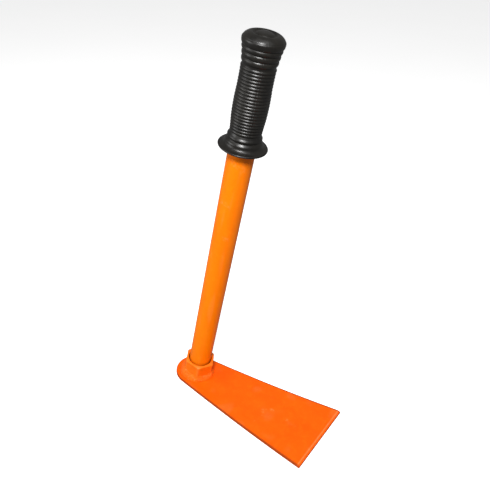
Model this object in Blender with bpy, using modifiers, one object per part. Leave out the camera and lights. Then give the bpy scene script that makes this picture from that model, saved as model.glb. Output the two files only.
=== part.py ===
"""Short-handled grub hoe: a curved steel blade, a hexagonal socket nut welded to it,
a steel tube handle standing in the socket, and a moulded grip over the tube's free end.

Units are metres, +Z is up.  The hoe stands on the underside of its own blade: the blade's
length runs along +X, the cutting edge is at +X, the width is along Y and the handle leans
towards the cutting edge.  Shapes are drawn in the tool's own frame (handle axis on Z, the
blade's top face passing through the origin) and placed by one matrix."""

import math

import bmesh
import bpy
from mathutils import Matrix, Vector

NAME = "grub_hoe"

# ---------------------------------------------------------------- driving dimensions
GAP = 0.0003                    # clearance between pieces that touch

TUBE_OD = 0.0250                # handle tube, outside diameter
TUBE_WALL = 0.0020              # handle tube, wall
TUBE_BOTTOM = 0.0028            # lower end of the tube, along the handle axis
TUBE_TOP = 0.3850               # upper end of the tube, inside the grip

BLADE_THICK = 0.0030            # blade plate thickness
BLADE_REACH = 0.1696            # handle axis to the cutting edge, along the blade
BLADE_EDGE_W = 0.0904           # width at the cutting edge
HEEL_R = 0.0238                 # radius of the rounded heel
HEEL_CENTRE = -0.0026           # centre of that radius, along the blade
BLADE_ROOT_SLOPE = 0.1585       # rad, rise of the blade at the handle, towards the handle
BLADE_CURVE = 0.5832            # 1/m, lengthwise curvature, concave towards the handle
GRIND_LEN = 0.0035              # ground bevel along the cutting edge, on the top face
GRIND_LAND = 0.0012             # thickness left at the cutting edge

FACET_FROM = 0.0330             # flat part of the underside that the hoe stands on
FACET_TO = 0.0730

NUT_AF = 0.0316                 # hexagonal socket, across flats
NUT_BORE = 0.0266               # its bore
NUT_BOTTOM = 0.0030             # lower face, along the handle axis
NUT_TOP = 0.0243                # upper face
NUT_CHAMFER = 0.0016            # height of the turned chamfer at the corners
NUT_CORNER = math.radians(-57)  # direction of one corner about the handle axis

WELD_TOP = 0.0086               # height that the fillet climbs up the socket
WELD_LEG = 0.0036               # how far it spreads over the blade

GRIP_MOUTH = 0.3058             # open end of the grip, along the handle axis
GRIP_TOP = 0.4049               # top of the button on its closed crown
GRIP_BORE = TUBE_OD + 2 * GAP
GRIP_FLANGE_R = 0.0224          # rim of the flared flange
GRIP_CROWN_R = 0.0178           # widest ring of the crown
BAND_HEIGHTS = (0.3925, 0.3876, 0.3829)      # broad bands under the crown
RIB_TOP = 0.3772                # highest of the fine ribs
RIB_PITCH = 0.00275
RIBS = 21
RIB_DEPTH = 0.0006
# radius of the grip's body over the ribs, against height along the handle axis
BODY = ((0.3185, 0.0144), (0.3225, 0.0144), (0.3265, 0.0147), (0.3305, 0.0150), (0.3345, 0.0153),
        (0.3415, 0.0155), (0.3475, 0.0155), (0.3515, 0.0154), (0.3555, 0.0152), (0.3605, 0.0149),
        (0.3670, 0.0148), (0.3740, 0.0148), (0.3790, 0.0150), (0.3830, 0.0154), (0.3879, 0.0160),
        (0.3925, 0.0168))

LEAN = BLADE_ROOT_SLOPE + BLADE_CURVE * 0.5 * (FACET_FROM + FACET_TO)

# ---------------------------------------------------------------- clear the scene
for old in list(bpy.data.objects):
    bpy.data.objects.remove(old, do_unlink=True)

scene = bpy.context.scene
scene.unit_settings.system = "METRIC"
scene.unit_settings.scale_length = 1.0

parts = bpy.data.collections.new(NAME)
cutters = bpy.data.collections.new(NAME + "_cutters")
scene.collection.children.link(parts)
scene.collection.children.link(cutters)


def material(name, colour, roughness, metallic):
    mat = bpy.data.materials.new(name)
    mat.use_nodes = True
    bsdf = mat.node_tree.nodes["Principled BSDF"]
    bsdf.inputs["Base Color"].default_value = (*colour, 1.0)
    bsdf.inputs["Roughness"].default_value = roughness
    bsdf.inputs["Metallic"].default_value = metallic
    return mat


def mesh_object(name, verts, faces, collection, mat=None):
    mesh = bpy.data.meshes.new(name)
    bm = bmesh.new()
    vs = [bm.verts.new(v) for v in verts]
    for f in faces:
        bm.faces.new([vs[i] for i in f])
    if collection is cutters:
        bmesh.ops.recalc_face_normals(bm, faces=bm.faces)
    bm.to_mesh(mesh)
    bm.free()
    obj = bpy.data.objects.new(name, mesh)
    collection.objects.link(obj)
    if mat:
        mesh.materials.append(mat)
    if collection is cutters:
        obj.hide_render = True
        obj.display_type = "WIRE"
    return obj


def prism(name, outline, z0, z1, collection, mat=None):
    n = len(outline)
    verts = [(x, y, z0) for x, y in outline] + [(x, y, z1) for x, y in outline]
    faces = [tuple(reversed(range(n))), tuple(range(n, 2 * n))]
    faces += [(i, (i + 1) % n, n + (i + 1) % n, n + i) for i in range(n)]
    return mesh_object(name, verts, faces, collection, mat)


def polygon(radius, sides, start=0.0):
    return [(radius * math.cos(start + 2 * math.pi * i / sides),
             radius * math.sin(start + 2 * math.pi * i / sides)) for i in range(sides)]


def turned(name, profile, steps, mat):
    """A Screw turning of an open or closed profile of (radius, height) points."""
    mesh = bpy.data.meshes.new(name)
    closed = profile[0][0] > 0.0
    verts = [(r, 0.0, z) for r, z in profile]
    edges = [(i, i + 1) for i in range(len(verts) - 1)]
    if closed:
        edges.append((len(verts) - 1, 0))
    mesh.from_pydata(verts, edges, [])
    mesh.materials.append(mat)
    obj = bpy.data.objects.new(name, mesh)
    parts.objects.link(obj)
    screw = obj.modifiers.new("turn", "SCREW")
    screw.axis = "Z"
    screw.angle = 2 * math.pi
    screw.steps = steps
    screw.render_steps = steps
    screw.use_merge_vertices = True
    screw.merge_threshold = 0.00001
    screw.use_smooth_shade = True
    screw.use_normal_calculate = False
    return obj


def boolean(obj, cutter, operation="DIFFERENCE"):
    mod = obj.modifiers.new(operation.lower(), "BOOLEAN")
    mod.operation = operation
    mod.solver = "EXACT"
    mod.object = cutter


def smooth(obj, angle=30):
    for poly in obj.data.polygons:
        poly.use_smooth = True
    obj.data.set_sharp_from_angle(angle=math.radians(angle))


# ---------------------------------------------------------------- materials
paint_blade = material("painted_steel_blade", (0.90, 0.16, 0.015), 0.38, 0.0)
paint_nut = material("painted_steel_socket", (0.91, 0.20, 0.018), 0.40, 0.0)
paint_weld = material("painted_weld", (0.88, 0.15, 0.014), 0.45, 0.0)
paint_tube = material("painted_steel_tube", (0.92, 0.22, 0.016), 0.34, 0.0)
rubber = material("moulded_grip", (0.020, 0.018, 0.017), 0.50, 0.0)


# ---------------------------------------------------------------- blade
def slope_at(s):
    """Rise of the blade's centre line; it is constant over the standing facet."""
    if FACET_FROM < s < FACET_TO:
        s = 0.5 * (FACET_FROM + FACET_TO)
    return BLADE_ROOT_SLOPE + BLADE_CURVE * s


STEP = 0.0005
line = {0: Vector((0.0, 0.0, 0.0))}
for direction in (1, -1):
    p = Vector((0.0, 0.0, 0.0))
    for i in range(1, 401):
        mid = direction * (i - 0.5) * STEP
        a = slope_at(mid)
        p = p + Vector((math.cos(a), 0.0, math.sin(a))) * STEP * direction
        line[direction * i] = p.copy()


def centre_line(s):
    k = math.floor(s / STEP)
    f = s / STEP - k
    return line[k].lerp(line[k + 1], f)


dx = BLADE_REACH - HEEL_CENTRE
dy = 0.5 * BLADE_EDGE_W
away = math.atan2(dy, dx) + math.acos(HEEL_R / math.hypot(dx, dy))
touch = (HEEL_CENTRE + HEEL_R * math.cos(away), HEEL_R * math.sin(away))

outline = []
HEEL_N = 16
for i in range(HEEL_N + 1):
    a = away + (math.pi - away) * i / HEEL_N
    outline.append((HEEL_CENTRE + HEEL_R * math.cos(a), HEEL_R * math.sin(a)))
outline = outline[::-1]                       # heel apex first, then out to the edge
stations = [0.008, 0.0165, 0.0250, FACET_FROM, FACET_TO]
stations += [FACET_TO + (BLADE_REACH - FACET_TO) * i / 12 for i in range(1, 13)]
for s in stations:
    if s > touch[0] + 0.003:
        f = (s - touch[0]) / (BLADE_REACH - touch[0])
        outline.append((s, touch[1] + (dy - touch[1]) * f))

verts = []
faces = []
rings = []
for s, half in outline:
    c = centre_line(s)
    if half < 1e-6:
        rings.append([len(verts)])
        verts.append((c.x, 0.0, c.z))
    else:
        rings.append([len(verts), len(verts) + 1])
        verts.append((c.x, -half, c.z))
        verts.append((c.x, half, c.z))
for a, b in zip(rings, rings[1:]):
    if len(a) == 1:
        faces.append((a[0], b[0], b[1]))
    else:
        faces.append((a[0], b[0], b[1], a[1]))
blade = mesh_object("blade", verts, faces, parts, paint_blade)
solid = blade.modifiers.new("plate", "SOLIDIFY")
solid.thickness = BLADE_THICK
solid.offset = -1.0
solid.use_even_offset = True

# wedge that grinds the top face down along the cutting edge
end = centre_line(BLADE_REACH)
tilt = slope_at(BLADE_REACH - 0.5 * GRIND_LEN)
along = Vector((math.cos(tilt), 0.0, math.sin(tilt)))
normal = Vector((-math.sin(tilt), 0.0, math.cos(tilt)))
drop = BLADE_THICK - GRIND_LAND
p0 = end - along * GRIND_LEN
p1 = end - normal * drop
fall = (p1 - p0).normalized()
q0 = p0 - fall * 0.004
q1 = p1 + fall * 0.004
rise = Vector((-fall.z, 0.0, fall.x))
section = [q0, q1, q1 + rise * 0.008, q0 + rise * 0.008]
WIDE = 0.06
verts = [(p.x, -WIDE, p.z) for p in section] + [(p.x, WIDE, p.z) for p in section]
faces = [(0, 1, 2, 3), (7, 6, 5, 4), (0, 4, 5, 1), (1, 5, 6, 2), (2, 6, 7, 3), (3, 7, 4, 0)]
grind = mesh_object("grind_cutter", verts, faces, cutters)
boolean(blade, grind)

# ---------------------------------------------------------------- socket nut
corner_r = NUT_AF / math.sqrt(3.0)
nut = prism("socket_nut", polygon(corner_r, 6, NUT_CORNER), NUT_BOTTOM, NUT_TOP, parts, paint_nut)
rim = 0.5 * NUT_AF - 0.0006
cone_r = rim + (corner_r + 0.004 - rim)
cone_z = NUT_TOP - NUT_CHAMFER * (corner_r + 0.004 - rim) / (corner_r - rim)
low = NUT_BOTTOM - 0.002
N = 48
verts = [(x, y, low) for x, y in polygon(cone_r, N)]
verts += [(x, y, cone_z) for x, y in polygon(cone_r, N)]
top_z = NUT_TOP + 0.0002
top_r = rim - 0.0002 * (corner_r - rim) / NUT_CHAMFER
verts += [(x, y, top_z) for x, y in polygon(top_r, N)]
faces = [tuple(reversed(range(N))), tuple(range(2 * N, 3 * N))]
for k in (0, N):
    faces += [(k + i, k + (i + 1) % N, k + N + (i + 1) % N, k + N + i) for i in range(N)]
chamfer = mesh_object("nut_chamfer_cutter", verts, faces, cutters)
bore = prism("nut_bore_cutter", polygon(0.5 * NUT_BORE, 64), NUT_BOTTOM - 0.004, NUT_TOP + 0.004, cutters)
boolean(nut, chamfer, "INTERSECT")
boolean(nut, bore)

# ---------------------------------------------------------------- weld between socket and blade
foot = corner_r + WELD_LEG * 0.85
head = corner_r + 0.0014
ROUND = 10
ring_out = [NUT_CORNER - math.pi / 6 + math.pi / 3 * (j + 0.5) / ROUND for j in range(6 * ROUND)]


def hexagonal(r_corner, soft, a):
    """Radius of a hexagon with softened corners in the direction a."""
    t = (a - NUT_CORNER + math.pi / 6) % (math.pi / 3) - math.pi / 6
    flat = r_corner * math.cos(math.pi / 6) / math.cos(math.pi / 6 - abs(t))
    return min(flat, r_corner - soft)


levels = [(-0.0075, foot, 0.0009), (0.0016, foot - 0.0001, 0.0009),
          (0.0040, head + 0.0013, 0.0007), (0.0064, head + 0.0006, 0.0005), (WELD_TOP, head, 0.0003)]
verts = []
for z, r, soft in levels:
    for a in ring_out:
        q = hexagonal(r, soft, a)
        lift = max(0.0, z) * 0.06 * math.sin(5 * a)
        verts.append((q * math.cos(a), q * math.sin(a), z + lift))
n = len(ring_out)
faces = [tuple(reversed(range(n))), tuple(range((len(levels) - 1) * n, len(levels) * n))]
for k in range(len(levels) - 1):
    for i in range(n):
        j = (i + 1) % n
        faces.append((k * n + i, k * n + j, (k + 1) * n + j, (k + 1) * n + i))
weld = mesh_object("socket_weld", verts, faces, parts, paint_weld)
nut_room = prism("weld_nut_cutter", polygon(corner_r + GAP * 2 / math.sqrt(3.0), 6, NUT_CORNER),
                 NUT_BOTTOM - GAP, NUT_TOP, cutters)
bore_room = prism("weld_bore_cutter", polygon(0.5 * NUT_BORE, 64), -0.012, NUT_TOP, cutters)
# slab that removes everything below the blade's top face, plus the clearance
slab_top = []
for s in (-0.040, -0.020, 0.0, 0.012, 0.024, 0.036):
    c = centre_line(s)
    a = slope_at(s)
    slab_top.append(c + Vector((-math.sin(a), 0.0, math.cos(a))) * GAP)
section = slab_top + [Vector((slab_top[-1].x, 0, -0.02)), Vector((slab_top[0].x, 0, -0.02))]
m = len(section)
verts = [(p.x, -0.04, p.z) for p in section] + [(p.x, 0.04, p.z) for p in section]
faces = [tuple(range(m)), tuple(reversed(range(m, 2 * m)))]
faces += [(i, m + i, m + (i + 1) % m, (i + 1) % m) for i in range(m)]
slab = mesh_object("weld_blade_cutter", verts, faces, cutters)
boolean(weld, slab)
boolean(weld, nut_room)
boolean(weld, bore_room)

# ---------------------------------------------------------------- handle tube
ro = 0.5 * TUBE_OD
ri = ro - TUBE_WALL
E = 0.0004
tube = turned("handle_tube", [
    (ro - E, TUBE_TOP), (ro, TUBE_TOP - E), (ro, TUBE_BOTTOM + E), (ro - E, TUBE_BOTTOM),
    (ri + E, TUBE_BOTTOM), (ri, TUBE_BOTTOM + E), (ri, TUBE_TOP - E), (ri + E, TUBE_TOP)], 64, paint_tube)

# ---------------------------------------------------------------- grip
def body_radius(z):
    for (z0, r0), (z1, r1) in zip(BODY, BODY[1:]):
        if z <= z1:
            return r0 + (r1 - r0) * max(0.0, z - z0) / (z1 - z0)
    return BODY[-1][1]


gb = 0.5 * GRIP_BORE
t = GRIP_TOP
profile = [(0.0, t), (0.0036, t - 0.0001), (0.0064, t - 0.0006), (0.0078, t - 0.0014),
           (0.0090, t - 0.0015), (0.0102, t - 0.0008), (0.0122, t - 0.0009), (0.0142, t - 0.0017),
           (0.0158, t - 0.0028), (0.0168, t - 0.0038), (0.0173, t - 0.0046), (GRIP_CROWN_R, t - 0.0056),
           (GRIP_CROWN_R, t - 0.0076), (0.0176, t - 0.0088), (0.0173, t - 0.0098), (0.0166, t - 0.0106)]
for z in BAND_HEIGHTS:
    r = body_radius(z)
    profile += [(r - 0.0001, z + 0.0013), (r, z), (r - 0.0001, z - 0.0013), (r - 0.0008, z - 0.0024)]
for i in range(RIBS):
    z = RIB_TOP - RIB_PITCH * i
    r = body_radius(z)
    profile += [(r, z), (r - RIB_DEPTH, z - 0.5 * RIB_PITCH)]
# flange: upper bead, groove, lower bead, concave flare, lip
f = GRIP_MOUTH
profile += [(0.0148, f + 0.0126), (0.0155, f + 0.0115), (0.0155, f + 0.0104), (0.0152, f + 0.0090),
            (0.0162, f + 0.0076), (0.0167, f + 0.0064), (0.0171, f + 0.0050), (0.0182, f + 0.0034),
            (0.0199, f + 0.0023), (0.0215, f + 0.0018), (GRIP_FLANGE_R, f + 0.0012),
            (GRIP_FLANGE_R, f + 0.0004), (0.0220, f), (0.0170, f), (gb + 0.0008, f + 0.0003), (gb, f + 0.0012)]
profile += [(gb, TUBE_TOP + GAP), (gb - 0.0006, TUBE_TOP + 0.0010), (0.0, TUBE_TOP + 0.0010)]
grip = turned("grip", profile, 44, rubber)

# ---------------------------------------------------------------- place in the standing frame
turn = Matrix.Rotation(LEAN, 4, "Y")
everything = list(parts.objects) + list(cutters.objects)
for obj in everything:
    obj.matrix_world = turn
bpy.context.view_layer.update()
deps = bpy.context.evaluated_depsgraph_get()
low_corner = Vector((1e9, 1e9, 1e9))
high_corner = Vector((-1e9, -1e9, -1e9))
for obj in parts.objects:
    ev = obj.evaluated_get(deps)
    me = ev.to_mesh()
    for v in me.vertices:
        w = obj.matrix_world @ v.co
        low_corner = Vector(map(min, low_corner, w))
        high_corner = Vector(map(max, high_corner, w))
    ev.to_mesh_clear()
shift = Vector((-0.5 * (low_corner.x + high_corner.x), -0.5 * (low_corner.y + high_corner.y), -low_corner.z))
for obj in everything:
    obj.matrix_world = Matrix.Translation(shift) @ turn
bpy.context.view_layer.update()
for obj in (blade, nut, weld):
    smooth(obj, 25)
print("lean", LEAN, "shift", tuple(round(x, 6) for x in shift),
      "size", tuple(round(x, 6) for x in (high_corner - low_corner)))
foot_mid = Matrix.Translation(shift) @ turn @ (centre_line(0.5 * (FACET_FROM + FACET_TO)).to_4d())
print("standing facet centre", tuple(round(x, 6) for x in foot_mid))
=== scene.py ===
"""Looks for the short-handled grub hoe: finer meshes and painted, moulded surfaces laid
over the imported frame.  Metres, in the row frame."""

import math

import bmesh
import bpy
import numpy as np
from mathutils import Matrix, Vector, noise


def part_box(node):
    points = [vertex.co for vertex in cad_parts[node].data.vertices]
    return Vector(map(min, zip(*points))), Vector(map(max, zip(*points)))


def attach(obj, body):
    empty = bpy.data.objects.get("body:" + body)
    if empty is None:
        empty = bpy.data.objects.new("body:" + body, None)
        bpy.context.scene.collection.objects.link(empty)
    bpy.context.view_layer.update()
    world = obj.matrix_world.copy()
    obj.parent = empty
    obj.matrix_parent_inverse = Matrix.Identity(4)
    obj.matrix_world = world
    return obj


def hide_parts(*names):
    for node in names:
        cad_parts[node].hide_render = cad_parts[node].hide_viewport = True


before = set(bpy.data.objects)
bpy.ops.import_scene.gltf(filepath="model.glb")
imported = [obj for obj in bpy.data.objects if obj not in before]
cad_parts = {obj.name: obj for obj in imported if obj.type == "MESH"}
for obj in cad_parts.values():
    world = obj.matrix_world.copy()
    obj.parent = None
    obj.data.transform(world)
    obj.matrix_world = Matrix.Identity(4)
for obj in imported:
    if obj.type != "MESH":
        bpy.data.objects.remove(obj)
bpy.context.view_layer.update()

# ------------------------------------------------------------------ the tool's own frame
GAP = 0.0003
TUBE_R = 0.0125
TUBE_RI = 0.0105
TUBE_BOTTOM, TUBE_TOP = 0.0028, 0.3850
BLADE_THICK = 0.0030
BLADE_REACH = 0.1696
BLADE_EDGE_W = 0.0904
HEEL_R = 0.0238
HEEL_CENTRE = -0.0026
ROOT_SLOPE = 0.1585
CURVE = 0.5832
FACET = (0.0330, 0.0730)
NUT_AF = 0.0316
NUT_BORE_R = 0.0133
NUT_BOTTOM, NUT_TOP = 0.0030, 0.0243
NUT_CORNER = math.radians(-57)
MOUTH = 0.3058
TOP = 0.4049
LEAN = ROOT_SLOPE + CURVE * 0.5 * sum(FACET)

turn = Matrix.Rotation(LEAN, 4, "Y")
tube_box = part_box("handle_tube")
tube_mid = Vector([0.5 * (a + b) for a, b in zip(*tube_box)])
SHIFT = tube_mid - turn @ Vector((0, 0, 0.5 * (TUBE_BOTTOM + TUBE_TOP)))
SHIFT.y = 0.0
PLACE = Matrix.Translation(SHIFT) @ turn


def slope_at(s):
    if FACET[0] < s < FACET[1]:
        s = 0.5 * sum(FACET)
    return ROOT_SLOPE + CURVE * s


STEP = 0.0005
_line = {0: (0.0, 0.0)}
for d in (1, -1):
    px = pz = 0.0
    for i in range(1, 401):
        a = slope_at(d * (i - 0.5) * STEP)
        px += math.cos(a) * STEP * d
        pz += math.sin(a) * STEP * d
        _line[d * i] = (px, pz)


def centre_line(s):
    k = math.floor(s / STEP)
    f = s / STEP - k
    a, b = _line[k], _line[k + 1]
    return a[0] + (b[0] - a[0]) * f, a[1] + (b[1] - a[1]) * f


_xs = [_line[k][0] for k in sorted(_line)]
_zs = [_line[k][1] for k in sorted(_line)]


def blade_z(x):
    return float(np.interp(x, _xs, _zs))


def smoothstep(a, b, x):
    t = min(1.0, max(0.0, (x - a) / (b - a)))
    return t * t * (3 - 2 * t)


def grain(x, y, z, scale, seed=0.0):
    return noise.noise(Vector((x * scale + seed, y * scale - seed, z * scale + 2 * seed)))


def build(name, verts, faces, mat, attrs=None, smooth=True, sharp=None):
    mesh = bpy.data.meshes.new(name)
    mesh.from_pydata([tuple(PLACE @ Vector(v)) for v in verts], [], faces)
    mesh.validate()
    mesh.update()
    for key, values in (attrs or {}).items():
        at = mesh.attributes.new(key, "FLOAT", "POINT")
        at.data.foreach_set("value", values)
    for p in mesh.polygons:
        p.use_smooth = smooth
    if sharp:
        mesh.set_sharp_from_angle(angle=math.radians(sharp))
    mesh.materials.append(mat)
    obj = bpy.data.objects.new(name, mesh)
    bpy.context.scene.collection.objects.link(obj)
    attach(obj, "root")
    return obj


def catmull(points, per):
    """A smooth line through points."""
    out = []
    n = len(points)
    for i in range(n - 1):
        p0 = points[max(i - 1, 0)]
        p1, p2 = points[i], points[i + 1]
        p3 = points[min(i + 2, n - 1)]
        for k in range(per):
            t = k / per
            q = []
            for a, b, c, d in zip(p0, p1, p2, p3):
                q.append(0.5 * (2 * b + (c - a) * t + (2 * a - 5 * b + 4 * c - d) * t * t
                                + (3 * b - a - 3 * c + d) * t ** 3))
            out.append(tuple(q))
    out.append(points[-1])
    return out


# ------------------------------------------------------------------ materials
class Nodes:
    """Short names for building a node tree."""

    def __init__(self, name):
        self.mat = bpy.data.materials.new(name)
        self.mat.use_nodes = True
        self.t = self.mat.node_tree
        self.bsdf = self.t.nodes["Principled BSDF"]
        self.pos = self.t.nodes.new("ShaderNodeTexCoord").outputs["Object"]

    def new(self, kind, **kw):
        n = self.t.nodes.new(kind)
        for k, v in kw.items():
            if k.startswith("_"):
                setattr(n, k[1:], v)
            else:
                n.inputs[k.replace("__", " ")].default_value = v
        return n

    def link(self, a, b):
        self.t.links.new(a, b)

    def noise(self, scale, detail=3.0, rough=0.5, distort=0.0, vec=None):
        n = self.new("ShaderNodeTexNoise", Scale=scale, Detail=detail, Roughness=rough, Distortion=distort)
        self.link(vec or self.pos, n.inputs["Vector"])
        return n.outputs["Fac"]

    def ramp(self, fac, stops):
        n = self.t.nodes.new("ShaderNodeValToRGB")
        el = n.color_ramp.elements
        while len(el) < len(stops):
            el.new(0.5)
        for e, (p, c) in zip(el, stops):
            e.position = p
            e.color = c if isinstance(c, tuple) else (c, c, c, 1)
        self.link(fac, n.inputs["Fac"])
        return n.outputs["Color"]

    def mix(self, fac, a, b, kind="MIX"):
        n = self.t.nodes.new("ShaderNodeMix")
        n.data_type = "RGBA"
        n.blend_type = kind
        for sock, v in ((n.inputs[0], fac), (n.inputs[6], a), (n.inputs[7], b)):
            if hasattr(v, "links"):
                self.link(v, sock)
            else:
                sock.default_value = v
        return n.outputs[2]

    def math(self, op, a, b=0.0):
        n = self.t.nodes.new("ShaderNodeMath")
        n.operation = op
        for sock, v in ((n.inputs[0], a), (n.inputs[1], b)):
            if hasattr(v, "links"):
                self.link(v, sock)
            else:
                sock.default_value = v
        return n.outputs[0]

    def attr(self, name):
        n = self.t.nodes.new("ShaderNodeAttribute")
        n.attribute_name = name
        return n.outputs["Fac"]

    def bump(self, height, strength, distance, normal=None):
        n = self.new("ShaderNodeBump", Strength=strength, Distance=distance)
        self.link(height, n.inputs["Height"])
        if normal:
            self.link(normal, n.inputs["Normal"])
        return n.outputs["Normal"]


def paint(name, base, deep, pale, rough=0.36, peel=0.22, streak=(1, 1, 1)):
    """Sprayed orange enamel: uneven film, orange peel, pin specks, thinner on worn edges, with painted shade on rims,
    joints and bores and a painted highlight line on the blade's bevel.
    """
    m = Nodes(name)
    mapping = m.new("ShaderNodeMapping")
    mapping.inputs["Scale"].default_value = streak
    m.link(m.pos, mapping.inputs["Vector"])
    broad = m.noise(22.0, 4.0, 0.55, 0.4, mapping.outputs["Vector"])
    col = m.mix(m.ramp(broad, [(0.34, 0.0), (0.68, 1.0)]), base, deep)
    mottle = m.noise(160.0, 5.0, 0.6)
    col = m.mix(m.math("MULTIPLY", m.ramp(mottle, [(0.48, 0.0), (0.74, 1.0)]), 0.5), col, pale)
    # rubbed patches and dust specks in the film
    patch = m.noise(55.0, 2.0, 0.5, 0.8)
    rub = m.math("MULTIPLY", m.ramp(patch, [(0.66, 0.0), (0.74, 1.0)]), m.ramp(m.noise(420.0, 4.0, 0.7), [(0.46, 0.0), (0.62, 1.0)]))
    col = m.mix(m.math("MULTIPLY", rub, 0.40), col, (0.80, 0.30, 0.075, 1))
    vor = m.t.nodes.new("ShaderNodeTexVoronoi")
    vor.inputs["Scale"].default_value = 130.0
    m.link(m.pos, vor.inputs["Vector"])
    speck = m.ramp(vor.outputs["Distance"], [(0.035, 1.0), (0.075, 0.0)])
    gate = m.ramp(m.noise(40.0, 1.0), [(0.56, 0.0), (0.62, 1.0)])
    specks = m.math("MULTIPLY", speck, gate)
    col = m.mix(m.math("MULTIPLY", specks, 0.45), col, (0.42, 0.055, 0.004, 1))
    # the pale mix below holds real chipped wear and, on the blade, a painted highlight line along the bevel's ridge
    wear = m.attr("wear")
    chips_and_highlight = m.math("MULTIPLY", wear, m.ramp(m.noise(700.0, 3.0, 0.7), [(0.34, 0.25), (0.62, 1.0)]))
    col = m.mix(m.math("MULTIPLY", chips_and_highlight, 0.75), col, (1.0, 0.42, 0.17, 1))
    # painted shade: the attribute read here pulls the enamel to a deep brown along plate rims, at joints, down bores
    # and at weld toes
    grime = m.attr("grime")
    col = m.mix(m.math("MULTIPLY", grime, 0.84), col, (0.15, 0.030, 0.003, 1))
    m.link(col, m.bsdf.inputs["Base Color"])
    r = m.ramp(m.noise(90.0, 4.0, 0.6), [(0.3, rough - 0.05), (0.7, rough + 0.08)])
    r = m.mix(m.math("MULTIPLY", rub, 0.6), r, (0.6, 0.6, 0.6, 1))
    m.link(r, m.bsdf.inputs["Roughness"])
    m.bsdf.inputs["Specular IOR Level"].default_value = 0.11
    m.bsdf.inputs["Coat Weight"].default_value = 0.05
    m.bsdf.inputs["Coat Roughness"].default_value = 0.22
    n = m.bump(m.noise(750.0, 2.0, 0.5), peel, 0.00022)
    n = m.bump(m.noise(120.0, 3.0, 0.5), 0.18, 0.0006, n)
    n = m.bump(m.math("MULTIPLY", specks, 1.0), 0.35, 0.0002, n)
    m.link(n, m.bsdf.inputs["Normal"])
    return m.mat


def grip_material():
    """Black moulded rubber with a satin skin, fine tooling grain and faint dusty wear."""
    m = Nodes("grip_rubber_skin")
    a = m.noise(45.0, 4.0, 0.6, 0.5)
    col = m.mix(m.ramp(a, [(0.35, 0.0), (0.7, 1.0)]), (0.0040, 0.0037, 0.0033, 1), (0.0095, 0.0082, 0.0062, 1))
    dust = m.math("MULTIPLY", m.attr("crest"), m.ramp(m.noise(330.0, 5.0, 0.7), [(0.45, 0.0), (0.72, 1.0)]))
    col = m.mix(m.math("MULTIPLY", dust, 0.12), col, (0.050, 0.045, 0.037, 1))
    # painted shade: the rubber is darker where the attribute read here marks grooves and inside faces
    col = m.mix(m.math("MULTIPLY", m.attr("grime"), 0.7), col, (0.006, 0.005, 0.004, 1))
    m.link(col, m.bsdf.inputs["Base Color"])
    r = m.ramp(m.noise(240.0, 5.0, 0.65), [(0.3, 0.30), (0.75, 0.43)])
    r = m.mix(m.math("MULTIPLY", dust, 0.7), r, (0.62, 0.62, 0.62, 1))
    m.link(r, m.bsdf.inputs["Roughness"])
    m.bsdf.inputs["Specular IOR Level"].default_value = 0.42
    n = m.bump(m.noise(2600.0, 2.0, 0.5), 0.20, 0.00010)
    n = m.bump(m.noise(420.0, 3.0, 0.6), 0.10, 0.00025, n)
    m.link(n, m.bsdf.inputs["Normal"])
    return m.mat


# One orange enamel covers the whole tool; its four copies get different base colours, lightest on the tube, then the
# socket and weld, darkest on the blade, as painted light and shade.
BASE = (0.90, 0.106, 0.0010, 1)
DEEP = (0.86, 0.090, 0.0006, 1)
PALE = (0.93, 0.138, 0.0025, 1)
blade_paint = paint("blade_enamel", BASE, DEEP, PALE, 0.46, 0.20, (1, 2.5, 1))
tube_paint = paint("tube_enamel", (0.95, 0.205, 0.0008, 1), (0.93, 0.182, 0.0006, 1), (0.96, 0.230, 0.0025, 1), 0.38, 0.16, (3, 3, 0.6))
nut_paint = paint("socket_enamel", (0.88, 0.160, 0.0030, 1), (0.83, 0.132, 0.0016, 1), (0.92, 0.185, 0.0060, 1), 0.42, 0.25)
weld_paint = paint("weld_enamel", (0.88, 0.135, 0.0010, 1), (0.80, 0.108, 0.0006, 1), PALE, 0.44, 0.35)
rubber = grip_material()


# ------------------------------------------------------------------ turned pieces
def lathe(name, rings, steps, mat, shape=None, attr=None, closed=False, caps=(False, False)):
    """rings: (radius, height) run down the outside then up the inside."""
    verts, faces = [], []
    values = {"wear": [], "grime": [], "crest": []}
    n = len(rings)
    for i, (r, z) in enumerate(rings):
        for k in range(steps):
            a = 2 * math.pi * k / steps
            rr = shape(r, z, a, i) if shape else r
            verts.append((rr * math.cos(a), rr * math.sin(a), z))
            for key in values:
                values[key].append(attr(key, r, z, a, i) if attr else 0.0)
    last = n if closed else n - 1
    for i in range(last):
        j = (i + 1) % n
        for k in range(steps):
            q = (k + 1) % steps
            faces.append((i * steps + k, j * steps + k, j * steps + q, i * steps + q))
    for flag, i, flip in ((caps[0], 0, False), (caps[1], n - 1, True)):
        if flag:
            c = len(verts)
            verts.append((0.0, 0.0, rings[i][1]))
            for key in values:
                values[key].append(0.0)
            for k in range(steps):
                q = (k + 1) % steps
                tri = (i * steps + k, i * steps + q, c)
                faces.append(tri[::-1] if flip else tri)
    return build(name, verts, faces, mat, values)


# handle tube, with a faint waviness in its outer skin
E = 0.0004
outer = [(TUBE_R - E, TUBE_TOP), (TUBE_R - 0.3 * E, TUBE_TOP - 0.3 * E)]
outer += [(TUBE_R, TUBE_TOP - E - (TUBE_TOP - TUBE_BOTTOM - 2 * E) * i / 150) for i in range(151)]
outer += [(TUBE_R - 0.3 * E, TUBE_BOTTOM + 0.3 * E), (TUBE_R - E, TUBE_BOTTOM), (TUBE_RI + E, TUBE_BOTTOM),
          (TUBE_RI, TUBE_BOTTOM + E)]
outer += [(TUBE_RI, TUBE_BOTTOM + E + (TUBE_TOP - TUBE_BOTTOM - 2 * E) * i / 6) for i in range(1, 7)]
outer += [(TUBE_RI + E, TUBE_TOP)]


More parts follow.
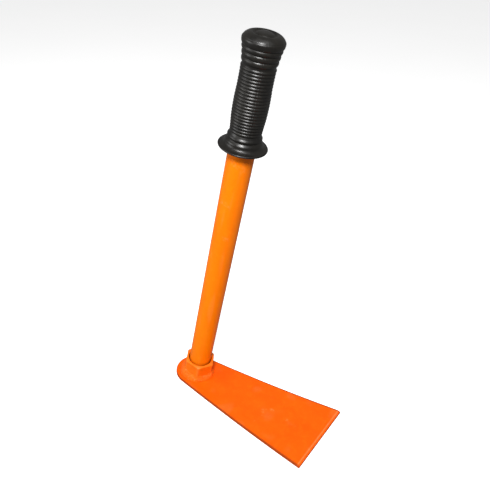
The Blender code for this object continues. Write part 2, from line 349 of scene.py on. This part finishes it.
def tube_shape(r, z, a, i):
    if r < TUBE_R - 1e-6:
        return r
    return r + 0.00003 * grain(math.cos(a) * 2, math.sin(a) * 2, z * 40, 1.0, 3.1)


def tube_attr(key, r, z, a, i):
    # painted shade: darker just above the socket's top and up into the grip's mouth, where the tube runs into the
    # other parts
    if key == "grime":
        low = smoothstep(NUT_TOP + 0.0050, NUT_TOP - 0.0010, z) if z < NUT_TOP + 0.006 else 0.0
        high = smoothstep(MOUTH - 0.0022, MOUTH + 0.0002, z)
        return max(0.55 * low, 0.55 * high)
    if key == "wear":
        v = grain(math.cos(a), math.sin(a), z * 9, 2.4, 7.0)
        return 0.10 * smoothstep(0.35, 0.6, v)
    return 0.0


tube = lathe("tube_skin", outer, 128, tube_paint, tube_shape, tube_attr, closed=True)
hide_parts("handle_tube")

# ------------------------------------------------------------------ hexagonal socket
CORNER_R = NUT_AF / math.sqrt(3.0)


def hex_r(a, flat=0.5 * NUT_AF, soft=0.0009):
    t = (a - NUT_CORNER + math.pi / 6) % (math.pi / 3) - math.pi / 6
    # distance to the two flats beside this corner, blended at the corner
    d1 = flat / max(0.2, math.cos(math.pi / 6 - t))
    d2 = flat / max(0.2, math.cos(math.pi / 6 + t))
    lo, hi = min(d1, d2), max(d1, d2)
    h = max(0.0, 1.0 - (hi - lo) / (soft * 1.6))
    return lo - h * h * soft * 0.40


def soft_min(a, b, k):
    h = max(k - abs(a - b), 0.0) / k
    return min(a, b) - h * h * k * 0.25


NUT_N = 288
rim = 0.5 * NUT_AF - 0.0006
cham = (CORNER_R - rim) / 0.0016
nut_rings = []
for z in [NUT_BOTTOM, NUT_BOTTOM + 0.0002, NUT_BOTTOM + 0.0006]:
    nut_rings.append(("out", z))
nut_rings += [("out", NUT_BOTTOM + 0.001 + (NUT_TOP - 0.0034 - NUT_BOTTOM - 0.001) * i / 14) for i in range(15)]
nut_rings += [("out", NUT_TOP - 0.0033 + 0.0033 * i / 22) for i in range(23)]
verts, faces, wear, grime = [], [], [], []
rows = []


def nut_outer(a, z):
    cone = rim + (NUT_TOP - z) * cham
    r = soft_min(hex_r(a), cone, 0.0006)
    edge = NUT_TOP - z
    if edge < 0.0005:
        r -= 0.0005 - math.sqrt(max(0.0, 0.0005 ** 2 - (0.0005 - edge) ** 2))
    return r + 0.00005 * grain(r * math.cos(a), r * math.sin(a), z, 260, 4.0)


table = []
for kind, z in nut_rings:
    table.append([(nut_outer(2 * math.pi * k / NUT_N, z), z) for k in range(NUT_N)])
top_row = table[-1]
for t in (0.30, 0.6):
    table.append([(r + (NUT_BORE_R + 0.0007 - r) * t, NUT_TOP + 0.00004) for r, _ in top_row])
for dr, dz in ((0.0007, 0.0), (0.00035, -0.00012), (0.0001, -0.0004), (0.0, -0.0009)):
    table.append([(NUT_BORE_R + dr, NUT_TOP + dz) for _ in range(NUT_N)])
for z in (NUT_TOP - 0.004, NUT_TOP - 0.010, NUT_BOTTOM + 0.002, NUT_BOTTOM):
    table.append([(NUT_BORE_R, z) for _ in range(NUT_N)])
for i, row in enumerate(table):
    for k, (r, z) in enumerate(row):
        a = 2 * math.pi * k / NUT_N
        verts.append((r * math.cos(a), r * math.sin(a), z))
        e = abs(hex_r(a) - CORNER_R) < 0.0010 and r > NUT_BORE_R + 0.001
        near_rim = abs(z - (NUT_TOP - 0.0002)) < 0.0006 and r > rim - 0.001
        wear.append(min(1.0, (0.10 if e else 0.0) + (0.06 if near_rim else 0.0)))
        # painted shade darkens the socket's bore
        inside = 0.45 if r < NUT_BORE_R + 0.0003 and z < NUT_TOP - 0.0003 else 0.0
        grime.append(inside)
M = len(table)
for i in range(M):
    j = (i + 1) % M
    for k in range(NUT_N):
        q = (k + 1) % NUT_N
        faces.append((i * NUT_N + k, i * NUT_N + q, j * NUT_N + q, j * NUT_N + k))
nut = build("socket_skin", verts, faces, nut_paint, {"wear": wear, "grime": grime}, sharp=50)
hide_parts("socket_nut")

# ------------------------------------------------------------------ weld bead around the socket
WELD_N = 360
toe_limit = 0.0014
weld_rows = []
V = 26


def heel_room(a):
    """How far the blade's top face reaches in the direction a."""
    c, s = math.cos(a), math.sin(a)
    b = -HEEL_CENTRE * c
    disc = HEEL_R ** 2 - HEEL_CENTRE ** 2 + b * b
    reach = -b + math.sqrt(max(0.0, disc))
    return 0.060 if c > 0.45 else reach


def angular(a, f, seed):
    return noise.noise(Vector((math.cos(a) * f + seed, math.sin(a) * f - seed, seed * 1.7)))


verts, faces, wear, grime = [], [], [], []
for v in range(V + 1):
    t = v / V
    for k in range(WELD_N):
        a = 2 * math.pi * k / WELD_N
        climb = 0.0112 + 0.0010 * angular(a, 1.7, 2.3) + 0.0008 * angular(a, 5.0, 8.1)
        climb -= 0.0022 * math.exp(-(((a - math.radians(-24)) + math.pi) % (2 * math.pi) - math.pi) ** 2 / 0.12)
        heel_side = smoothstep(-0.2, 0.9, -math.cos(a - math.radians(12)))
        spread = 0.0036 + 0.0010 * heel_side + 0.0009 * angular(a, 1.9, 5.7) + 0.0005 * angular(a, 6.0, 1.2)
        toe = min(hex_r(a, soft=0.003) + spread, heel_room(a) - toe_limit)
        r0 = hex_r(a) - 0.00015
        # fillet from the socket's side down to the blade, slightly hollow with a crowned middle
        bow = math.sin(math.pi * t)
        r = r0 + (toe - r0) * (0.86 * t + 0.14 * t ** 3)
        x, y = r * math.cos(a), r * math.sin(a)
        foot = blade_z(x)
        top = climb
        z = top + (foot - top) * (1 - (1 - t) ** 1.08)
        # stacked ripples of the bead, and spattered lumps
        ripple = math.sin(a * 46 + 1.2 * math.sin(3 * a) + 2.2 * t) * 0.00020
        lump = 0.00085 * max(0.0, grain(x, y, z, 330, 9.0)) + 0.00045 * grain(x, y, z, 700, 2.0)
        puddle = 0.0011 * math.exp(-(((a - math.radians(-118)) + math.pi) % (2 * math.pi) - math.pi) ** 2 / 0.10) * bow
        out = (ripple + lump + puddle) * min(1.0, 1.8 * bow) + 0.00045 * bow
        nx, nz = 0.75, 0.66
        r += out * nx
        z += out * nz
        r = min(r, heel_room(a) - toe_limit * 0.7)
        if v == V:
            z = blade_z(r * math.cos(a)) - 0.0002
        else:
            z = max(z, blade_z(r * math.cos(a)) - 0.0001)
        verts.append((r * math.cos(a), r * math.sin(a), z))
        wear.append(0.10 * bow + 0.35 * smoothstep(0.3, 0.6, grain(x, y, z, 330, 9.0)))
        # painted shade at both toes of the bead, against the socket's flats and against the blade
        grime.append(0.40 * smoothstep(0.82, 1.0, t) + 0.35 * smoothstep(0.14, 0.0, t))
for r_in, dz in ((0.0012, -0.0002), (0.0012, None)):
    for k in range(WELD_N):
        a = 2 * math.pi * k / WELD_N
        r = hex_r(a) - 0.0009
        z = blade_z(r * math.cos(a)) - 0.0002 if dz is not None else 0.0060
        verts.append((r * math.cos(a), r * math.sin(a), z))
        wear.append(0.0)
        grime.append(0.0)
M = V + 3
for i in range(M):
    j = (i + 1) % M
    for k in range(WELD_N):
        q = (k + 1) % WELD_N
        faces.append((i * WELD_N + k, j * WELD_N + k, j * WELD_N + q, i * WELD_N + q))
weld = build("weld_skin", verts, faces, weld_paint, {"wear": wear, "grime": grime})
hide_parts("socket_weld")

# ------------------------------------------------------------------ blade
dx = BLADE_REACH - HEEL_CENTRE
dy = 0.5 * BLADE_EDGE_W
away = math.atan2(dy, dx) + math.acos(HEEL_R / math.hypot(dx, dy))
touch = (HEEL_CENTRE + HEEL_R * math.cos(away), HEEL_R * math.sin(away))
stations = []
HN = 40
for i in range(1, HN + 1):
    a = math.pi - (math.pi - away) * i / HN
    stations.append((HEEL_CENTRE + HEEL_R * math.cos(a), HEEL_R * math.sin(a)))
S0 = touch[0]
for i in range(1, 121):
    s = S0 + (BLADE_REACH - S0) * i / 120
    stations.append((s, touch[1] + (dy - touch[1]) * (s - S0) / (BLADE_REACH - S0)))
extra = [BLADE_REACH - g for g in (0.0040, 0.0036, 0.0032, 0.0029, 0.0026, 0.0023, 0.0020, 0.0016, 0.0012, 0.0008)]
for s in extra:
    stations.append((s, touch[1] + (dy - touch[1]) * (s - S0) / (BLADE_REACH - S0)))
stations = sorted(set(stations))
apex_s = HEEL_CENTRE - HEEL_R
ACROSS = 56
RAD = 0.0006                      # rounding of the plate's edges
ARC = 5


def blade_thick(s):
    g = BLADE_REACH - s
    if g > 0.0036:
        return BLADE_THICK
    return 0.0012 + (BLADE_THICK - 0.0012) * smoothstep(-0.0004, 0.0036, g) ** 0.9


def blade_point(s, y, depth):
    x, z = centre_line(s)
    a = slope_at(s)
    return (x + math.sin(a) * depth, y, z - math.cos(a) * depth)


# outline loop (heel apex, +Y side to the edge, across, back along -Y) with inward offsets
loop = [(apex_s, 0.0)]
loop += [(s, h) for s, h in stations]
cut = [(BLADE_REACH, dy * (1 - 2 * i / 40)) for i in range(1, 41)]
loop += cut
loop += [(s, -h) for s, h in reversed(stations[:-1])]
L = len(loop)


def offset_loop(d):
    out = []
    for i, (x, y) in enumerate(loop):
        ax, ay = loop[i - 1]
        bx, by = loop[(i + 1) % L]
        e1 = Vector((x - ax, y - ay)).normalized()
        e2 = Vector((bx - x, by - y)).normalized()
        n1 = Vector((e1.y, -e1.x))
        n2 = Vector((e2.y, -e2.x))
        m = (n1 + n2).normalized()
        k = d / max(0.35, m.dot(n1))
        out.append((x + m.x * k, y + m.y * k))
    return out


verts, faces, wear, grime = [], [], [], []


def add(s, y, depth, w, g):
    verts.append(blade_point(s, y, depth))
    wear.append(w)
    grime.append(g)
    return len(verts) - 1


def wear_and_highlight_at(s, y, side):
    g = BLADE_REACH - s
    w = 0.0
    if side == "top":
        # painted highlight: a paler line 2.6 mm back from the cutting edge, on the ridge where the ground bevel
        # starts; the noise below adds real scattered wear
        w = 0.50 * math.exp(-((g - 0.0026) / 0.0006) ** 2)
    n = noise.noise(Vector((s * 60, y * 60, 3.3)))
    return min(1.0, max(0.0, w + 0.10 * smoothstep(0.2, 0.5, n)))


rim_rings = []
for i in range(ARC + 1):
    ang = 0.5 * math.pi * i / ARC
    ins = RAD * (1 - math.sin(ang))
    dep = RAD * (1 - math.cos(ang))
    ring = offset_loop(ins)
    rim_rings.append([(s, y, dep) for s, y in ring])
ring_ids = []
for i, ring in enumerate(rim_rings):
    ids = []
    for (s, y, dep), (ls, ly) in zip(ring, loop):
        g = BLADE_REACH - ls
        lift = BLADE_THICK - blade_thick(s)
        # painted shade: the top rim rings are darkened into a dark outline round the plate, a little less along the
        # cutting edge
        ids.append(add(s, y, lift + dep, wear_and_highlight_at(s, y, "top"), 0.95 if g > 0.004 else 0.80))
    ring_ids.append(ids)
for i in range(ARC + 1):
    ang = 0.5 * math.pi * i / ARC
    ins = RAD * (1 - math.cos(ang)) if i else 0.0
    dep = BLADE_THICK - RAD * (1 - math.sin(ang))
    ring = offset_loop(ins)
    ids = []
    for (s, y), (ls, ly) in zip(ring, loop):
        # painted shade along the plate's side face and lower rim
        ids.append(add(s, y, dep, 0.10, 0.45))
    ring_ids.append(ids)
for a_ids, b_ids in zip(ring_ids, ring_ids[1:]):
    for k in range(L):
        q = (k + 1) % L
        faces.append((a_ids[k], b_ids[k], b_ids[q], a_ids[q]))


def fill(ids, ring, depth_of, up):
    """Fills a face of the plate with a grid between the +Y and -Y halves of the loop."""
    ns = len(stations)
    left = [1 + i for i in range(ns)]
    right = [L - 1 - i for i in range(ns - 1)] + [ns + 40]
    grid = []
    for a, b in zip(left, right):
        row = [ids[a]]
        sa, ya = ring[a][0], ring[a][1]
        sb, yb = ring[b][0], ring[b][1]
        for k in range(1, 40):
            t = k / 40
            s = sa + (sb - sa) * t
            y = ya + (yb - ya) * t
            if a == left[-1]:
                row.append(ids[ns + k])
            else:
                w = 0.00006 * noise.noise(Vector((s * 34, y * 34, 1.5 if up else 8.5)))
                row.append(add(s, y, depth_of(s) + w, wear_and_highlight_at(s, y, "top" if up else "under"), 0.0))
        row.append(ids[b])
        grid.append(row)
    for r0, r1 in zip(grid, grid[1:]):
        for k in range(40):
            f = (r0[k], r0[k + 1], r1[k + 1], r1[k])
            faces.append(f if not up else f)
            if not up:
                faces[-1] = f[::-1]
    first = grid[0]
    for k in range(40):
        f = (ids[0], first[k + 1], first[k])
        faces.append(f if up else f[::-1])


fill(ring_ids[0], [(s, y) for s, y, _ in rim_rings[0]], lambda s: BLADE_THICK - blade_thick(s), True)
fill(ring_ids[-1], offset_loop(RAD), lambda s: BLADE_THICK, False)
blade = build("blade_skin", verts, faces, blade_paint, {"wear": wear, "grime": grime})
bm = bmesh.new()
bm.from_mesh(blade.data)
bmesh.ops.recalc_face_normals(bm, faces=bm.faces)
bm.to_mesh(blade.data)
bm.free()
blade.data.set_sharp_from_angle(angle=math.radians(35))
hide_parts("blade")

# ------------------------------------------------------------------ grip
BODY_Z = [0.3185, 0.3225, 0.3265, 0.3305, 0.3345, 0.3415, 0.3475, 0.3515, 0.3555, 0.3605, 0.3670, 0.3740,
          0.3790, 0.3830, 0.3879, 0.3925]
BODY_R = [0.0144, 0.0144, 0.0147, 0.0150, 0.0153, 0.0155, 0.0155, 0.0154, 0.0152, 0.0149, 0.0148, 0.0148,
          0.0150, 0.0154, 0.0160, 0.0168]
BANDS = (0.3925, 0.3876, 0.3829)
RIB_TOP, RIB_PITCH, RIBS = 0.3772, 0.00275, 21


def body_r(z):
    return float(np.interp(z, BODY_Z, BODY_R))


crown = [(0.0, TOP), (0.0022, TOP - 0.00004), (0.0044, TOP - 0.0002), (0.0062, TOP - 0.0006), (0.0074, TOP - 0.0013),
         (0.0082, TOP - 0.0019), (0.0090, TOP - 0.0018), (0.0099, TOP - 0.0011), (0.0111, TOP - 0.0008),
         (0.0126, TOP - 0.0011), (0.0142, TOP - 0.0018), (0.0157, TOP - 0.0029), (0.0166, TOP - 0.0038),
         (0.0169, TOP - 0.0043), (0.0171, TOP - 0.0047), (0.01755, TOP - 0.0052), (0.0178, TOP - 0.0060),
         (0.0178, TOP - 0.0070), (0.01765, TOP - 0.0082), (0.0174, TOP - 0.0092), (0.0169, TOP - 0.0100),
         (0.0163, TOP - 0.0106)]
prof = catmull(crown, 6)
z = prof[-1][1]
# bands and ribs as rounded ridges on the body
Z_LOW = RIB_TOP - RIB_PITCH * (RIBS - 0.5)
ridges = [(b, 0.00225, 0.00095, 2.4) for b in BANDS]
ridges += [(RIB_TOP - RIB_PITCH * i, 0.5 * RIB_PITCH, 0.00075, 2.0) for i in range(RIBS)]
steps_z = 330
for i in range(1, steps_z + 1):
    zz = z + (Z_LOW - z) * i / steps_z
    best = 0.0
    for c, half, depth, power in ridges:
        u = abs(zz - c) / half
        if u < 1.0:
            best = max(best, depth * (1 - u ** power))
    base = body_r(zz) - (0.00095 if zz > 0.3800 else 0.00075 + 0.00020 * smoothstep(0.3780, 0.3800, zz))
    prof.append((base + best, zz))
f = MOUTH
flange = [prof[-1], (0.01445, f + 0.0132), (0.0150, f + 0.0124), (0.0155, f + 0.0116), (0.01565, f + 0.0108),
          (0.0154, f + 0.0099), (0.0152, f + 0.0091), (0.0157, f + 0.0083), (0.0164, f + 0.0074),
          (0.0168, f + 0.0065), (0.0169, f + 0.0056), (0.0171, f + 0.0047), (0.0177, f + 0.0037),
          (0.0188, f + 0.0028), (0.0203, f + 0.0022), (0.0214, f + 0.0019), (0.0221, f + 0.0015),
          (0.0224, f + 0.0009), (0.0223, f + 0.0003), (0.0219, f)]
prof += catmull(flange, 7)[1:]
inner = [(0.0210, f + 0.0001), (0.0180, f + 0.0003), (0.0150, f + 0.0002), (0.0137, f + 0.0004), (0.0130, f + 0.0009),
         (0.0128, f + 0.0016), (0.0128, f + 0.010), (0.0128, TUBE_TOP + 0.0002), (0.0122, TUBE_TOP + 0.0010), (0.0001, TUBE_TOP + 0.0010)]
prof += inner
SEAM = math.atan2(-0.3706, 0.2251) + math.radians(15.0)
n_outer = len(prof) - len(inner)
prof[0] = (0.0001, TOP)


def grip_shape(r, z, a, i):
    if i >= n_outer or r < 0.002:
        return r
    out = r + 0.00006 * grain(math.cos(a), math.sin(a), z * 30, 1.6, 5.0)
    d = min(abs((a - SEAM - k * math.pi + math.pi / 2) % math.pi - math.pi / 2) for k in (0, 1)) * r
    if 0.3200 < z < 0.4020:
        line = math.exp(-(d / 0.00030) ** 2)
        out += 0.00016 * line - 0.00010 * math.exp(-((d - 0.0007) / 0.0004) ** 2)
    return out


def grip_attr(key, r, z, a, i):
    # painted shade: the inside faces are fully darkened
    if i >= n_outer:
        return 1.0 if key == "grime" else 0.0
    if key == "crest":
        if z > TOP - 0.0100:
            return 0.30
        if z < Z_LOW:
            return 0.35
        return 0.10 + 0.9 * smoothstep(0.0, 0.0006, r - (body_r(z) - 0.00062))
    # painted shade in the grooves between the ribs and bands
    if key == "grime":
        if Z_LOW < z < TOP - 0.0100:
            return 0.8 * smoothstep(0.00030, 0.0, r - (body_r(z) - 0.00075))
        return 0.0
    return 0.0


grip = lathe("grip_skin", prof, 168, rubber, grip_shape, grip_attr, caps=(True, True))
bm = bmesh.new()
bm.from_mesh(grip.data)
bmesh.ops.recalc_face_normals(bm, faces=bm.faces)
bm.to_mesh(grip.data)
bm.free()
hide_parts("grip")
for piece in (tube, nut, weld):
    bm = bmesh.new()
    bm.from_mesh(piece.data)
    bmesh.ops.recalc_face_normals(bm, faces=bm.faces)
    bm.to_mesh(piece.data)
    bm.free()

# ------------------------------------------------------------------ floor
bpy.ops.mesh.primitive_plane_add(size=14.0, location=(0, 0, -0.0002))
floor = bpy.context.object
floor.name = "studio_floor"
fm = Nodes("floor_pale")
tone = fm.ramp(fm.noise(3.0, 2.0), [(0.3, (0.90, 0.90, 0.90, 1)), (0.7, (0.92, 0.92, 0.92, 1))])
fm.link(tone, fm.bsdf.inputs["Base Color"])
fm.bsdf.inputs["Roughness"].default_value = 0.9
fm.bsdf.inputs["Specular IOR Level"].default_value = 0.1
fm.bsdf.inputs["Emission Color"].default_value = (1.0, 1.0, 1.0, 1.0)
fm.bsdf.inputs["Emission Strength"].default_value = 0.62
floor.data.materials.append(fm.mat)
floor.visible_diffuse = False
floor.visible_glossy = False

# ------------------------------------------------------------------ camera
CAM_AT = Vector((0.22515, -0.37060, 0.52861))
RIGHT = Vector((0.79153, 0.58390, 0.18041))
UP = Vector((-0.47878, 0.40900, 0.77685))
AHEAD = Vector((-0.37981, 0.70127, -0.60329))
cam_data = bpy.data.cameras.new("camera")
cam_data.sensor_width = 36.0
cam_data.lens = 548.42 / 490.0 * 36.0
cam_data.clip_start = 0.01
cam_data.clip_end = 50.0
cam = bpy.data.objects.new("camera", cam_data)
bpy.context.scene.collection.objects.link(cam)
rot = Matrix((RIGHT, UP, -AHEAD)).transposed().to_4x4()
cam.matrix_world = PLACE @ Matrix.Translation(CAM_AT) @ rot
bpy.context.scene.camera = cam

# ------------------------------------------------------------------ light
world = bpy.data.worlds.new("studio")
bpy.context.scene.world = world
world.use_nodes = True
bg = world.node_tree.nodes["Background"]
bg.inputs["Color"].default_value = (1.0, 1.0, 1.0, 1)
bg.inputs["Strength"].default_value = 0.24

cam_pos = cam.matrix_world.translation.copy()
middle = Vector((0.0, 0.0, 0.17))
toward = cam_pos - middle
toward.z = 0.0
toward.normalize()
side = Vector((-toward.y, toward.x, 0.0))        # camera right


def softbox(name, at, aim, size, power, colour=(1, 1, 1)):
    data = bpy.data.lights.new(name, "AREA")
    data.shape = "RECTANGLE"
    data.size, data.size_y = size
    data.energy = power
    data.color = colour
    obj = bpy.data.objects.new(name, data)
    obj.location = at
    obj.rotation_euler = (Vector(aim) - Vector(at)).to_track_quat("-Z", "Y").to_euler()
    bpy.context.scene.collection.objects.link(obj)
    return obj


softbox("key", middle + toward * 0.84 - side * 0.06 + Vector((0, 0, 0.90)), (0, 0, 0.24), (0.26, 0.26), 20.5)
softbox("left", middle + toward * 0.35 - side * 1.30 + Vector((0, 0, 0.50)), (0, 0, 0.20), (0.6, 0.9), 8.5)
softbox("top", middle + toward * 0.75 + side * 0.45 + Vector((0, 0, 2.0)), (0, 0, 0.0), (1.0, 1.0), 7.5)

view = bpy.context.scene.view_settings
view.view_transform = "Standard"
view.look = "None"
view.exposure = 0.0
view.gamma = 1.0
